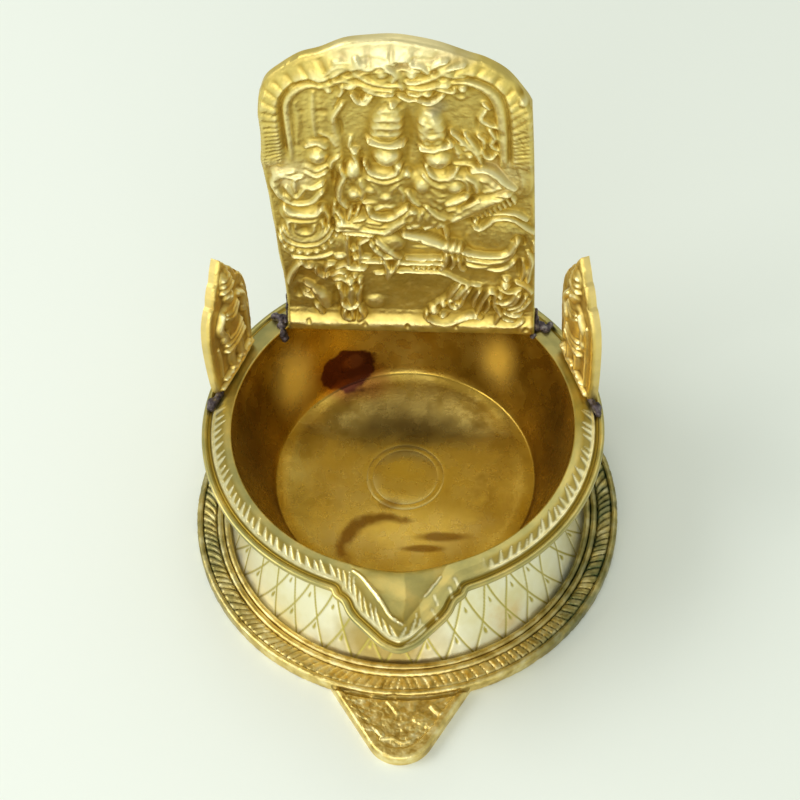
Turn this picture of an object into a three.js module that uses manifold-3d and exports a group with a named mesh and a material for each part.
// A brass oil lamp. A turned bowl with a spout stands on its own waisted skirt, which is seated on a cast
// foot plate with a tongue and held from below by a stud, a washer and a nut. A back plate and two side
// plaques with reliefs are soldered to the bowl's rim. Sizes are millimetres and +Z is up. The origin is
// the middle of the footprint, on the table. The spout points to -Y.
import * as THREE from "three";
import { mergeVertices } from "three/addons/utils/BufferGeometryUtils.js";
import Module from "manifold-3d";

const wasm = await Module();
wasm.setup();

// Clearances and resolution
const seatGap = 0.3; // between a soldered piece and what it stands on
const overrun = 3; // how far a cutting body passes the faces that it cuts
const roundSides = 64; // sides of the turned castings
const smallSides = 24; // sides of the stud and the washer
const skirtSteps = 6; // steps up the skirt, from its foot to the waist
const wallSteps = 4; // steps up the bowl's walls above the waist
const hollowSteps = 3; // steps down the skirt's inside
const splineSteps = 2; // steps between two points of a drawn outline
const arcSteps = 12; // steps of a drawn arc
const ballSides = 8; // sides and rings of a rounded mass of a relief
const ballRings = 5;

// Foot plate
const footRadius = 57.5;
const footThickness = 3.9;
const footEdge = 0.5; // chamfer of the outer edge
const footLipWidth = 1.7; // raised lip round the rib channel
const ribChannelWidth = 3.8; // sunk band that carries the ribs
const ribChannelDepth = 0.9;
const channelSlope = 0.3; // width of the channel's sloped sides
const beadWidth = 1.85; // each of the two turned beads inside the channel
const beadDepth = 0.7;
const seatHeight = 1.9; // flat seat inside the beads, where the skirt stands
const webRadius = 36; // flat web in the middle, raised on a cone inside the skirt
const webThickness = 2.5;
const coneWall = 2.8;
const webClearance = 2.3; // from the web up to the bowl's floor
const tongueReach = 75.5; // from the bowl's axis to the tongue's tip
const tongueTipRadius = 9;
const tongueRootHalfWidth = 18;
const tongueOffset = -0.8; // the tongue's middle lies this far to +X of the bowl's axis

// Bowl, skirt and spout
const skirtWall = 2.8;
const waistRadius = 38.9; // narrowest place of the outside, between the skirt and the bowl's wall
const waistHeight = 21;
const skirtFlarePower = 1.35; // how the outside swells from the waist down to the skirt's foot
const bowlFlarePower = 1.25; // and from the waist up to the flange
const floorHeight = 18.3;
const floorThickness = 3;
const floorRadius = 34.6;
const bowlDepth = 25.35; // from the floor to the rim
const wallBulge = 0.5; // how far the inside swells between the floor and the rim
const rimInnerRadius = 44.1;
const rimEdge = 0.4; // worn inner edge of the rim
const rimFlatWidth = 2.5; // plain band beside the inner edge
const rimFlatFall = 0.2;
const strokeBandWidth = 2.7; // band that carries the struck border
const strokeBandFall = 0.5;
const lipGrooveWidth = 0.5;
const lipGrooveDepth = 0.8;
const lipSlope = 0.4; // width of the groove's sloped sides
const lipWidth = 1.3; // flat lip between the groove and the rim's outer edge
const lipFall = 0.2; // how far the lip lies below the stroke band's outer side
const lipHeight = 1.2; // height of the lip's outer face
const lipRound = 0.6;
const flangeRootWall = 2.9; // the wall where it meets the underside of the rim's flange
const flangeDepth = 3.65; // from the rim down to that root
const turnedRingRadius = 8.6; // turned ring in the middle of the floor
const turnedRingWidth = 1.7;
const turnedRingDepth = 0.25;
const spoutReach = 66.5; // from the bowl's axis to the spout's tip
const spoutHalfWidth = 16.3;
const spoutBorder = 2.4; // lip and groove round the spout
const keelDepth = 14; // how far the spout's keel reaches down the bowl's wall
const keelReach = 41.5; // from the bowl's axis to the keel's lowest point
const channelDepth = 0.8; // shallow wick channel in the spout
const channelHalfWidth = 11.7;
const channelReach = 60;

// Back plate
const plateHalfWidth = 32.7;
const plateHeight = 103.2;
const plateThickness = 2.6;
const plateOverhang = 0.9; // how far the plate's foot stands inside the rim's inner edge
const plateOffset = 2; // the plate's middle lies this far to +X of the bowl's axis
const plateYaw = -2.24; // degrees
const borderRelief = 1; // rayed border, above the plate's ground
const borderFootShare = 0.63; // the rays start this far up the plate's height
const mouldingRelief = 1.5; // smooth arch inside the rayed border
const mouldingWidth = 2;
const ledgeRelief = 2.5; // ledge at the plate's foot
const ledgeHeight = 2.5;
const ledgeSlopeHeight = 5.1; // where the ledge's sloped top meets the ground
const figureRelief = 3.6; // tallest mass of the figures, above the ground
const plateGridSteps = 95; // the plate's height in steps of the grid that the figures are laid out on

// Side plaques
const plaqueHeight = 43.5;
const plaqueHalfWidth = 10.7;
const plaqueThickness = 2.65;
const plaqueInset = 3.1; // from the rim's inner edge to the plaque's face
const plaqueRelief = 2.4;
const plaqueGridSteps = 100; // the plaque's height in steps of its figure's grid
const leftPlaqueDistance = 16.51; // round the rim, from the back plate's end to the plaque's middle
const rightPlaqueDistance = 19.23;
const rightPlaqueLean = 0.5; // degrees that the right plaque leans outwards
const rightPlaqueBackLean = 3.4; // degrees that it leans to the back, in its own plane

// Solder
const plateSolderWidth = 4.4;
const plateSolderDepth = 8;
const plateSolderHeight = 3.4;
const plaqueSolderLength = 5.2;
const plaqueSolderWidth = 5;
const plaqueSolderHeight = 2.2;

// Fastening under the bowl
const studRadius = 3;
const studHoleDepth = 1.8; // blind hole under the bowl's floor
const studTail = 1.5; // how far the stud stands out of the nut
const studChamfer = 0.5;
const threadGap = 0.3; // radial clearance of the stud in its holes
const washerRadius = 9;
const washerThickness = 1.2;
const nutHalfFlats = 5;
const nutThickness = 4;

// Heights and radii that follow
const skirtFootRadius = footRadius - footLipWidth - ribChannelWidth - 2 * beadWidth;
const strokeBandRadius = rimInnerRadius + rimFlatWidth + strokeBandWidth; // its outer side
const grooveOuterRadius = strokeBandRadius + lipSlope + lipGrooveWidth;
const rimOuterRadius = grooveOuterRadius + lipSlope + lipWidth;
const flangeRootRadius = rimInnerRadius + flangeRootWall;
const floorUnderside = floorHeight - floorThickness;
const webTop = floorUnderside - webClearance;
const webUnderside = webTop - webThickness;
const rimHeight = floorHeight + bowlDepth;
const flangeRootHeight = rimHeight - flangeDepth;
const studHoleRadius = studRadius + threadGap;
const footprintShift = (tongueReach - footRadius) / 2;
const turn = Math.PI * 2;
const upright = Math.PI / 2;

const brass = (color, roughness) => new THREE.MeshStandardMaterial({ color, roughness, metalness: 1 });
const castBrass = brass(0xb8923a, 0.42);
const turnedBrass = brass(0xc79a3a, 0.24);
const plateBrass = brass(0xc9a548, 0.36);
const plaqueBrass = brass(0xd2ae52, 0.32);
const darkSolder = new THREE.MeshStandardMaterial({ color: 0x3c352d, roughness: 0.6, metalness: 0.6 });
const steel = new THREE.MeshStandardMaterial({ color: 0x8b8b86, roughness: 0.4, metalness: 1 });

// A closed geometry as a solid, with its doubled vertices merged and its flat slivers dropped
function solidOf(geometry) {
  const bare = geometry.clone();
  bare.deleteAttribute("normal");
  bare.deleteAttribute("uv");
  const merged = mergeVertices(bare);
  const index = merged.index.array;
  const kept = [];
  for (let i = 0; i < index.length; i += 3) {
    const [a, b, c] = [index[i], index[i + 1], index[i + 2]];
    if (a !== b && b !== c && c !== a) kept.push(a, b, c);
  }
  const vertProperties = new Float32Array(merged.attributes.position.array);
  return new wasm.Manifold(new wasm.Mesh({ numProp: 3, vertProperties, triVerts: new Uint32Array(kept) }));
}

// A solid as a geometry for a mesh
function geometryOf(solid) {
  const { vertProperties, triVerts, numProp } = solid.getMesh();
  const positions = [];
  for (let i = 0; i < vertProperties.length; i += numProp) {
    positions.push(vertProperties[i], vertProperties[i + 1], vertProperties[i + 2]);
  }
  const geometry = new THREE.BufferGeometry();
  geometry.setAttribute("position", new THREE.Float32BufferAttribute(positions, 3));
  geometry.setIndex(Array.from(triVerts));
  geometry.computeVertexNormals();
  return geometry;
}

// A named sub-part
function piece(name, solid, material) {
  const mesh = new THREE.Mesh(geometryOf(solid), material);
  mesh.name = name;
  return mesh;
}

// A section of [radius, height] points turned about Z
function turned(section, sides = roundSides) {
  const points = section.map(([radius, height]) => new THREE.Vector2(radius, height));
  return solidOf(new THREE.LatheGeometry(points, sides).rotateX(upright));
}

// A closed ring section turned about Z, from points that go up the outside and down the inside
const turnedRing = (section, sides) => turned([...section, section[0]], sides);

// A flat outline raised from one height to another
function raised(shape, low, high) {
  const settings = { depth: high - low, bevelEnabled: false, curveSegments: arcSteps };
  return solidOf(new THREE.ExtrudeGeometry(shape, settings).translate(0, 0, low));
}

// An outline in the upright plane, with its back on y = -back and its front on y = -front
function upstanding(shape, back, front) {
  const settings = { depth: front - back, bevelEnabled: false, curveSegments: splineSteps };
  return solidOf(new THREE.ExtrudeGeometry(shape, settings).rotateX(upright).translate(0, -back, 0));
}

// A box between two corners
function block([x0, y0, z0], [x1, y1, z1]) {
  const geometry = new THREE.BoxGeometry(x1 - x0, y1 - y0, z1 - z0);
  return solidOf(geometry.translate((x0 + x1) / 2, (y0 + y1) / 2, (z0 + z1) / 2));
}

const joined = (solids) => solids.reduce((whole, solid) => whole.add(solid));
const polygon = (points) => new THREE.Shape(points.map(([x, y]) => new THREE.Vector2(x, y)));

// A closed body from a low outline up to a high one with as many points, both anticlockwise from above
function loft(lowOutline, low, highOutline, high) {
  const count = lowOutline.length;
  const lowRing = lowOutline.flatMap(([x, y]) => [x, y, low]);
  const highRing = highOutline.flatMap(([x, y]) => [x, y, high]);
  const index = [];
  for (let i = 0; i < count; i++) {
    const next = (i + 1) % count;
    index.push(i, next, next + count, i, next + count, i + count);
  }
  const corners = highOutline.map(([x, y]) => new THREE.Vector2(x, y));
  for (const [a, b, c] of THREE.ShapeUtils.triangulateShape(corners, [])) {
    index.push(a + count, b + count, c + count, c, b, a);
  }
  const geometry = new THREE.BufferGeometry();
  geometry.setAttribute("position", new THREE.Float32BufferAttribute([...lowRing, ...highRing], 3));
  geometry.setIndex(index);
  return solidOf(geometry);
}

// The angle on a circle at which a line from an outside point touches it, on the circle's +X side
function touchingAngle(point, centre, radius) {
  const reach = new THREE.Vector2().subVectors(point, centre);
  return reach.angle() - Math.acos(radius / reach.length());
}

// The foot plate: lip, rib channel, beads and seat, the web raised on its cone, and the tongue
function footPlate() {
  const channelOuter = footRadius - footLipWidth;
  const channelInner = channelOuter - ribChannelWidth;
  const beadInner = skirtFootRadius + seatGap;
  const coneFoot = skirtFootRadius - skirtWall - seatGap;
  const section = [
    [coneFoot - coneWall, 0],
    [footRadius - footEdge, 0],
    [footRadius, footEdge],
    [footRadius, footThickness - footEdge],
    [footRadius - footEdge, footThickness],
    [channelOuter, footThickness],
    [channelOuter - channelSlope, footThickness - ribChannelDepth],
    [channelInner + channelSlope, footThickness - ribChannelDepth],
    [channelInner, footThickness],
    [channelInner - beadWidth / 2, footThickness],
    [channelInner - beadWidth, footThickness - beadDepth],
    [beadInner + beadWidth / 2, footThickness],
    [beadInner + channelSlope, footThickness],
    [beadInner, seatHeight],
    [coneFoot, seatHeight],
    [webRadius, webTop],
    [studHoleRadius, webTop],
    [studHoleRadius, webUnderside],
    [webRadius - coneWall, webUnderside],
  ];
  return turnedRing(section).add(tongue());
}

// The triangular tongue with its round tip and its raised border
function tongue() {
  const outer = raised(tongueOutline(0), 0, footThickness);
  const field = raised(tongueOutline(footLipWidth), footThickness - beadDepth, footThickness + overrun);
  const footDisc = turned([[0, -overrun], [footRadius - footLipWidth, -overrun],
    [footRadius - footLipWidth, footThickness + overrun], [0, footThickness + overrun]]);
  return outer.subtract(field).subtract(footDisc);
}

function tongueOutline(inset) {
  const tipRadius = tongueTipRadius - inset;
  const tip = new THREE.Vector2(tongueOffset, tongueTipRadius - tongueReach);
  const rootY = -Math.sqrt(footRadius ** 2 - tongueRootHalfWidth ** 2);
  const halfWidth = tongueRootHalfWidth - inset;
  const [left, right] = [tongueOffset - halfWidth, tongueOffset + halfWidth];
  const touch = touchingAngle(new THREE.Vector2(right, rootY), tip, tipRadius);
  const shape = new THREE.Shape();
  shape.moveTo(left, -skirtFootRadius);
  shape.lineTo(left, rootY);
  shape.absarc(tip.x, tip.y, tipRadius, Math.PI - touch, touch, false);
  shape.lineTo(right, rootY);
  shape.lineTo(right, -skirtFootRadius);
  shape.closePath();
  return shape;
}

// The radius of the bowl's outside at a height: it draws in from the skirt's foot to the waist, and
// flares from there to the flange
function outsideRadius(height) {
  if (height < waistHeight) {
    const belowShare = (waistHeight - height) / (waistHeight - seatHeight);
    return waistRadius + (skirtFootRadius - waistRadius) * belowShare ** skirtFlarePower;
  }
  const aboveShare = (height - waistHeight) / (flangeRootHeight - waistHeight);
  return waistRadius + (flangeRootRadius - waistRadius) * aboveShare ** bowlFlarePower;
}

// Points on a turned surface between two heights, both ends included
function climb(low, high, steps, radiusAt) {
  return Array.from({ length: steps + 1 }, (_, step) => {
    const height = low + ((high - low) * step) / steps;
    return [radiusAt(height), height];
  });
}

// The rim's top from its lip to its inner edge
function rimSection() {
  const bandHeight = rimHeight - rimFlatFall - strokeBandFall;
  const lipTop = bandHeight - lipFall;
  return [
    [rimOuterRadius - lipRound, lipTop - lipHeight - lipRound],
    [rimOuterRadius, lipTop - lipHeight],
    [rimOuterRadius, lipTop - lipRound / 2],
    [rimOuterRadius - lipRound / 2, lipTop],
    [grooveOuterRadius + lipSlope, lipTop],
    [grooveOuterRadius, bandHeight - lipGrooveDepth],
    [strokeBandRadius + lipSlope, bandHeight - lipGrooveDepth],
    [strokeBandRadius, bandHeight],
    [rimInnerRadius + rimFlatWidth, rimHeight - rimFlatFall],
    [rimInnerRadius + rimEdge, rimHeight],
  ];
}

// The radius of the bowl's inside at a height
function insideRadius(height) {
  const share = (height - floorHeight) / (rimHeight - rimEdge - floorHeight);
  return floorRadius + (rimInnerRadius - floorRadius) * share + wallBulge * Math.sin(Math.PI * share);
}

// The bowl with its skirt, its flange, its spout and the blind hole for the stud
function bowl() {
  const skirtInside = climb(floorUnderside, seatHeight, hollowSteps, (height) =>
    outsideRadius(height) - skirtWall);
  const inside = climb(floorHeight, rimHeight - rimEdge, wallSteps, insideRadius);
  const section = [
    [0, floorUnderside + studHoleDepth],
    [studHoleRadius, floorUnderside + studHoleDepth],
    [studHoleRadius, floorUnderside],
    ...skirtInside,
    ...climb(seatHeight, waistHeight, skirtSteps, outsideRadius),
    ...climb(waistHeight, flangeRootHeight, wallSteps, outsideRadius).slice(1),
    ...rimSection(),
    ...inside.toReversed(),
    [turnedRingRadius + turnedRingWidth, floorHeight],
    [turnedRingRadius + turnedRingWidth / 2, floorHeight - turnedRingDepth],
    [turnedRingRadius, floorHeight],
    [0, floorHeight],
  ];
  const hollow = turned([[0, floorHeight], ...inside, [rimInnerRadius, rimHeight + overrun],
    [0, rimHeight + overrun]]);
  return turned(section).add(spout().subtract(hollow)).subtract(wickChannel());
}

// The spout's plan, drawn in by an inset: straight sides that round into the tip
function spoutOutline(inset) {
  const halfWidth = spoutHalfWidth - inset;
  const length = spoutReach - rimInnerRadius - inset;
  const sideShares = [[1, 0.27], [0.86, 0.385], [0.79, 0.5], [0.7, 0.6], [0.585, 0.69],
    [0.44, 0.8], [0.295, 0.905], [0.145, 0.97]];
  const right = sideShares.map(([across, along]) => [halfWidth * across, -rimInnerRadius - length * along]);
  const left = right.map(([x, y]) => [-x, y]);
  return [[-halfWidth, -floorRadius], ...left, [0, -rimInnerRadius - length], ...right.toReversed(),
    [halfWidth, -floorRadius]];
}

// The spout: as thick as the rim's lip at its nose, with a keel that draws back under it to the wall
function spout() {
  const [, , , [, lipTop]] = rimSection();
  const noseBottom = lipTop - lipHeight;
  const border = raised(polygon(spoutOutline(0)), noseBottom, lipTop);
  const field = raised(polygon(spoutOutline(spoutBorder)), noseBottom, rimHeight - rimFlatFall);
  const keelShare = (keelReach - floorRadius) / (spoutReach - floorRadius);
  const keelFoot = spoutOutline(0).map(([x, y]) =>
    [x * keelShare, -floorRadius + (y + floorRadius) * keelShare]);
  return border.add(field).add(loft(keelFoot, noseBottom - keelDepth, spoutOutline(0), noseBottom));
}

// The shallow V of the wick channel, from the bowl's edge to near the tip
function wickChannel() {
  const top = rimHeight + overrun;
  const mouth = -rimInnerRadius + rimEdge;
  const outline = polygon([[-channelHalfWidth, mouth], [0, -channelReach], [channelHalfWidth, mouth]]);
  const bottom = rimHeight - rimFlatFall - channelDepth;
  const trough = polygon([[-channelHalfWidth, rimHeight], [0, bottom], [channelHalfWidth, rimHeight],
    [channelHalfWidth, top], [-channelHalfWidth, top]]);
  return raised(outline, floorHeight, top).intersect(upstanding(trough, 0, spoutReach));
}

// A rounded mass of a relief: a ball, stretched and half sunk in the ground. The shares are its place
// across and up, its half width and half height, its relief and its turn in degrees.
function mass([across, up, halfWidth, halfHeight, relief, degrees], unit, fullRelief, ground) {
  const geometry = new THREE.SphereGeometry(1, ballSides, ballRings).rotateX(upright);
  geometry.scale(halfWidth * unit, relief * fullRelief, halfHeight * unit);
  geometry.rotateY(-THREE.MathUtils.degToRad(degrees));
  return solidOf(geometry.translate(across * unit, -ground, up * unit));
}

// All masses of a relief, cut level inside the plate that carries them
function masses(shares, unit, fullRelief, ground) {
  const forms = joined(shares.map((share) => mass(share, unit, fullRelief, ground)));
  const front = -ground - 2 * fullRelief;
  return forms.intersect(block([-plateHeight, front, 0], [plateHeight, -ground / 2, plateHeight]));
}

// The relief of the back plate, in steps of the plate's grid
const seatedPairShares = [
  [-4.2, 74, 3.9, 7.8, 0.75, 4], [-4.2, 64, 3.7, 4.4, 0.98, 0], [-5.6, 57.5, 7.6, 2.8, 0.82, 0],
  [-4.7, 52, 5.4, 7.6, 0.9, 0], [-12.7, 52.5, 2.1, 6.6, 0.78, 12], [-7.5, 43.5, 8.8, 4.2, 0.92, 0],
  [-7.5, 40, 9.4, 2.9, 1, -4], [-5.5, 31, 2.1, 6, 0.8, 20], [-4.7, 23.5, 1.7, 2.8, 0.6, 0],
  [6.8, 73.5, 3.9, 7.6, 0.75, -4], [8, 63.5, 3.6, 4.2, 0.98, 0], [8.5, 58, 8, 2.7, 0.82, 0],
  [7.6, 53, 5.6, 7, 0.9, 0], [18, 57, 5.6, 2.4, 0.78, -8], [17.5, 48.5, 7.4, 2.3, 0.85, 36],
  [6, 43.5, 7.6, 4.2, 0.9, 0], [4.7, 35.5, 8.6, 2.5, 1, -17], [9.4, 28, 2.1, 3.4, 0.75, 0],
];
const attendantShares = [
  [-20.5, 75.5, 3.3, 9.5, 0.45, 0], [-21, 66, 3.8, 4.2, 0.85, 0], [-24.5, 54, 6, 7.5, 0.85, 0],
  [-24.5, 42.5, 6.4, 6.2, 0.95, 0], [-24.5, 34, 6.4, 4.6, 0.8, 0], [-17.5, 53, 1.9, 5.6, 0.6, -10],
  [18, 71.5, 2.4, 6.6, 0.55, 0], [25.2, 58, 3.4, 6, 0.6, 0],
];
const throneShares = [
  [-2, 28, 9.6, 1.3, 0.55, 0], [20, 31, 8.6, 2.4, 0.7, 4], [27, 34.5, 1.5, 3.6, 0.7, -20],
  [9.5, 12.5, 2.4, 8, 0.65, -38], [22.7, 12.5, 5.6, 6.8, 0.75, 0], [-23, 14, 4.6, 9, 0.7, -25],
  [-13.5, 13, 2.8, 8.5, 0.8, 0], [-19, 25, 6.6, 3, 0.6, 0], [-9, 11.5, 2.4, 2.4, 0.45, 0],
];
const monsterMaskShares = [
  [-1, 87.5, 14, 4.2, 0.8, 0], [-3.8, 90, 1.7, 1.7, 1, 0], [2.4, 89.5, 1.7, 1.7, 1, 0],
  [-15, 84.5, 3.8, 2.8, 0.6, 0], [11.5, 84.5, 3.8, 2.8, 0.6, 0],
];

// The plate's outline: nearly straight sides under a low round dome
const rightSideShares = [[0.98, 0.33], [0.957, 0.586], [0.942, 0.706], [0.927, 0.803]];
const domeShares = [[0.884, 0.832], [0.77, 0.896], [0.627, 0.933], [0.492, 0.951], [0.287, 0.979],
  [0.08, 0.995], [-0.055, 1], [-0.193, 0.994], [-0.367, 0.984], [-0.538, 0.954], [-0.688, 0.937],
  [-0.838, 0.9], [-0.945, 0.868], [-1, 0.82]];
const leftSideShares = [[-1.018, 0.772], [-1.018, 0.712], [-1.046, 0.603], [-1.015, 0.495],
  [-0.99, 0.346], [-1, 0]];

function plateOutline() {
  const place = ([across, up]) => new THREE.Vector2(plateHalfWidth * across, plateHeight * up);
  const shape = new THREE.Shape();
  shape.moveTo(-plateHalfWidth, 0);
  shape.lineTo(plateHalfWidth, 0);
  shape.splineThru(rightSideShares.map(place));
  shape.splineThru(domeShares.map(place));
  shape.splineThru(leftSideShares.map(place));
  return shape;
}

// The arch inside the rayed border, drawn in by an inset
const archShares = [[0.79, 0.62], [0.785, 0.82], [0.7, 0.892], [0.5, 0.925], [0.25, 0.94], [0, 0.945],
  [-0.3, 0.94], [-0.62, 0.925], [-0.8, 0.893], [-0.86, 0.83], [-0.87, 0.62]];

function archOutline(inset) {
  const shrink = 1 - inset / plateHalfWidth;
  const points = archShares.map(([across, up]) =>
    new THREE.Vector2(plateHalfWidth * across * shrink, plateHeight * up - inset));
  const shape = new THREE.Shape();
  shape.moveTo(points[0].x, points[0].y);
  shape.splineThru(points.slice(1));
  shape.closePath();
  return shape;
}

// The back plate with its rayed border, arch, ledge and figures, upright with its back on y = 0
function backPlate() {
  const outline = plateOutline();
  const front = (relief) => plateThickness + relief;
  const base = upstanding(outline, 0, plateThickness);
  const arch = upstanding(archOutline(0), -overrun, front(figureRelief));
  const innerArch = upstanding(archOutline(mouldingWidth), -overrun, front(figureRelief));
  const upper = block([-2 * plateHalfWidth, -front(figureRelief), borderFootShare * plateHeight],
    [2 * plateHalfWidth, 0, plateHeight + overrun]);
  const border = upstanding(outline, 0, front(borderRelief)).intersect(upper).subtract(arch);
  const moulding = upstanding(archOutline(0), 0, front(mouldingRelief)).intersect(upper)
    .subtract(innerArch);
  const ledgeSection = polygon([[0, 0], [-front(ledgeRelief), 0], [-front(ledgeRelief), ledgeHeight],
    [-plateThickness, ledgeSlopeHeight], [0, ledgeSlopeHeight]]);
  const ledgeSettings = { depth: 2 * plateHalfWidth, bevelEnabled: false };
  const ledgeRun = new THREE.ExtrudeGeometry(ledgeSection, ledgeSettings);
  const ledge = solidOf(ledgeRun.rotateX(upright).rotateZ(upright).translate(-plateHalfWidth, 0, 0));
  const shares = [...seatedPairShares, ...attendantShares, ...throneShares, ...monsterMaskShares];
  const figures = masses(shares, plateHeight / plateGridSteps, figureRelief, plateThickness)
    .intersect(upstanding(outline, 0, front(2 * figureRelief)));
  return joined([base, border, moulding, ledge, figures]);
}

// The standing attendant of a side plaque, in steps of the plaque's grid
const standingFigureShares = [
  [0, 4, 17, 4, 0.5, 0], [-4.5, 18, 3.6, 13, 0.75, 3], [5, 18, 3.6, 13, 0.75, -3],
  [0, 36, 10, 9, 0.9, 0], [0, 50, 7.5, 10, 0.9, 0], [0, 58, 11, 4.5, 0.8, 0], [0, 70, 5.5, 7, 1, 0],
  [0, 81, 4.2, 8, 0.75, 0], [-11, 49, 3, 9, 0.7, 12], [11, 49, 3, 9, 0.7, -12], [16, 32, 2, 20, 0.5, 0],
];

// Half of the plaque's outline: a waisted foot, then three lobes that step in to a point
const plaqueSideShares = [
  [0.9, 0], [0.97, 0.18], [1, 0.37], [0.99, 0.5], [0.92, 0.61], [0.8, 0.685], [0.68, 0.725],
  [0.59, 0.735], [0.53, 0.79], [0.45, 0.83], [0.37, 0.855], [0.29, 0.865], [0.18, 0.93],
];

// A side plaque, upright with its back on y = 0 and its relief towards -Y. Its foot stays level where
// the plaque leans to the back, so it leans as a pack of cards does.
function sidePlaque(backLean) {
  const side = plaqueSideShares.map(([across, up]) => [plaqueHalfWidth * across, plaqueHeight * up]);
  const otherSide = side.map(([x, z]) => [-x, z]).reverse();
  const outline = polygon([...side, [0, plaqueHeight], ...otherSide]);
  const base = upstanding(outline, 0, plaqueThickness);
  const unit = plaqueHeight / plaqueGridSteps;
  const figure = masses(standingFigureShares, unit, plaqueRelief, plaqueThickness);
  const plaque = base.add(figure.intersect(upstanding(outline, 0, plaqueThickness + 2 * plaqueRelief)));
  const slope = Math.tan(THREE.MathUtils.degToRad(backLean));
  return solidOf(geometryOf(plaque).applyMatrix4(new THREE.Matrix4().makeShear(0, 0, 0, 0, -slope, 0)));
}

// Where the back plate stands: the chord whose front corners meet the rim's inner edge
const plateChord = Math.sqrt(rimInnerRadius ** 2 - plateHalfWidth ** 2) - plateOverhang;
const plateSetback = plateChord + plateThickness + ledgeRelief;
const plateFrame = new THREE.Matrix4()
  .makeRotationZ(THREE.MathUtils.degToRad(plateYaw))
  .setPosition(plateOffset, plateSetback, rimHeight + seatGap);

// Where the side plaques stand: round the rim from the ends of the back plate
const plaqueFaceRadius = rimInnerRadius + plaqueInset;
const plateEndAngle = Math.acos(plateHalfWidth / rimInnerRadius);
const leftPlaqueAngle = Math.PI - plateEndAngle + leftPlaqueDistance / plaqueFaceRadius;
const rightPlaqueAngle = plateEndAngle - rightPlaqueDistance / plaqueFaceRadius;

// A side plaque's frame: on the rim, facing the bowl's axis, with its top leaning outwards
function plaqueFrame(angle, lean) {
  const backRadius = plaqueFaceRadius + plaqueThickness;
  return new THREE.Matrix4()
    .makeRotationZ(angle - upright)
    .multiply(new THREE.Matrix4().makeRotationX(-THREE.MathUtils.degToRad(lean)))
    .setPosition(backRadius * Math.cos(angle), backRadius * Math.sin(angle), rimHeight);
}

// A lump of solder in a frame, above the bowl and clear of it by the seat gap
function solder(size, place, frame, keep, bowlSolid) {
  const lump = new THREE.SphereGeometry(1 / 2, 14, 8).rotateX(upright);
  lump.scale(...size).translate(...place);
  const trimmed = solidOf(lump).intersect(keep);
  const placed = solidOf(geometryOf(trimmed).applyMatrix4(frame));
  const raisedBowl = solidOf(geometryOf(bowlSolid).translate(0, 0, seatGap));
  return placed.subtract(raisedBowl);
}

// Solder at one end of the back plate: side is -1 or 1
function plateSolder(side, bowlSolid) {
  const face = plateHalfWidth + seatGap;
  const far = face + plateSolderWidth;
  const size = [2 * plateSolderWidth, plateSolderDepth, 2 * plateSolderHeight];
  const place = [side * face, -plateThickness, -seatGap];
  const keep = block([Math.min(side * face, side * far), -plateSolderDepth, -plateSolderHeight],
    [Math.max(side * face, side * far), plateSolderDepth, plateSolderHeight]);
  return solder(size, place, plateFrame, keep, bowlSolid);
}

// Solder in front of a side plaque's foot: side is the way along the plaque's width that faces -Y
function plaqueSolder(angle, side, bowlSolid) {
  const face = plaqueSideShares[0][0] * plaqueHalfWidth + seatGap;
  const far = face + plaqueSolderLength;
  const size = [2 * plaqueSolderLength, plaqueSolderWidth, 2 * plaqueSolderHeight];
  const place = [side * face, -plaqueThickness / 2, -seatGap];
  const keep = block([Math.min(side * face, side * far), -plaqueSolderWidth, -plaqueSolderHeight],
    [Math.max(side * face, side * far), plaqueSolderWidth, plaqueSolderHeight]);
  return solder(size, place, plaqueFrame(angle, 0), keep, bowlSolid);
}

// The stud, from the blind hole under the bowl down through the web, the washer and the nut
const nutUnderside = webUnderside - washerThickness - nutThickness;

function centreStud() {
  const bottom = nutUnderside - studTail;
  const top = floorUnderside + studHoleDepth - seatGap;
  return turned([[0, bottom], [studRadius - studChamfer, bottom], [studRadius, bottom + studChamfer],
    [studRadius, top - studChamfer], [studRadius - studChamfer, top], [0, top]], smallSides);
}

function studWasher() {
  const low = webUnderside - washerThickness;
  return turnedRing([[studHoleRadius, low], [washerRadius, low], [washerRadius, webUnderside],
    [studHoleRadius, webUnderside]], smallSides);
}

function studNut() {
  const corner = nutHalfFlats / Math.cos(turn / 12);
  const corners = Array.from({ length: 6 }, (_, i) =>
    [corner * Math.cos((turn * i) / 6), corner * Math.sin((turn * i) / 6)]);
  const shape = polygon(corners);
  const hole = new THREE.Path();
  hole.absarc(0, 0, studHoleRadius, 0, turn, true);
  shape.holes.push(hole);
  return raised(shape, nutUnderside, nutUnderside + nutThickness);
}

// A piece in a frame of its own
function framed(frame, mesh) {
  const group = new THREE.Group();
  group.applyMatrix4(frame);
  group.add(mesh);
  return group;
}

const bowlSolid = bowl();
const lamp = new THREE.Group();
lamp.position.y = footprintShift;
lamp.add(
  piece("foot_plate", footPlate(), castBrass),
  piece("bowl", bowlSolid, turnedBrass),
  framed(plateFrame, piece("back_plate", backPlate(), plateBrass)),
  framed(plaqueFrame(leftPlaqueAngle, 0), piece("left_plaque", sidePlaque(0), plaqueBrass)),
  framed(plaqueFrame(rightPlaqueAngle, rightPlaqueLean),
    piece("right_plaque", sidePlaque(rightPlaqueBackLean), plaqueBrass)),
  piece("plate_solder_left", plateSolder(-1, bowlSolid), darkSolder),
  piece("plate_solder_right", plateSolder(1, bowlSolid), darkSolder),
  piece("plaque_solder_left", plaqueSolder(leftPlaqueAngle, -1, bowlSolid), darkSolder),
  piece("plaque_solder_right", plaqueSolder(rightPlaqueAngle, 1, bowlSolid), darkSolder),
  piece("centre_stud", centreStud(), steel),
  piece("stud_washer", studWasher(), steel),
  piece("stud_nut", studNut(), steel),
);

export default lamp;
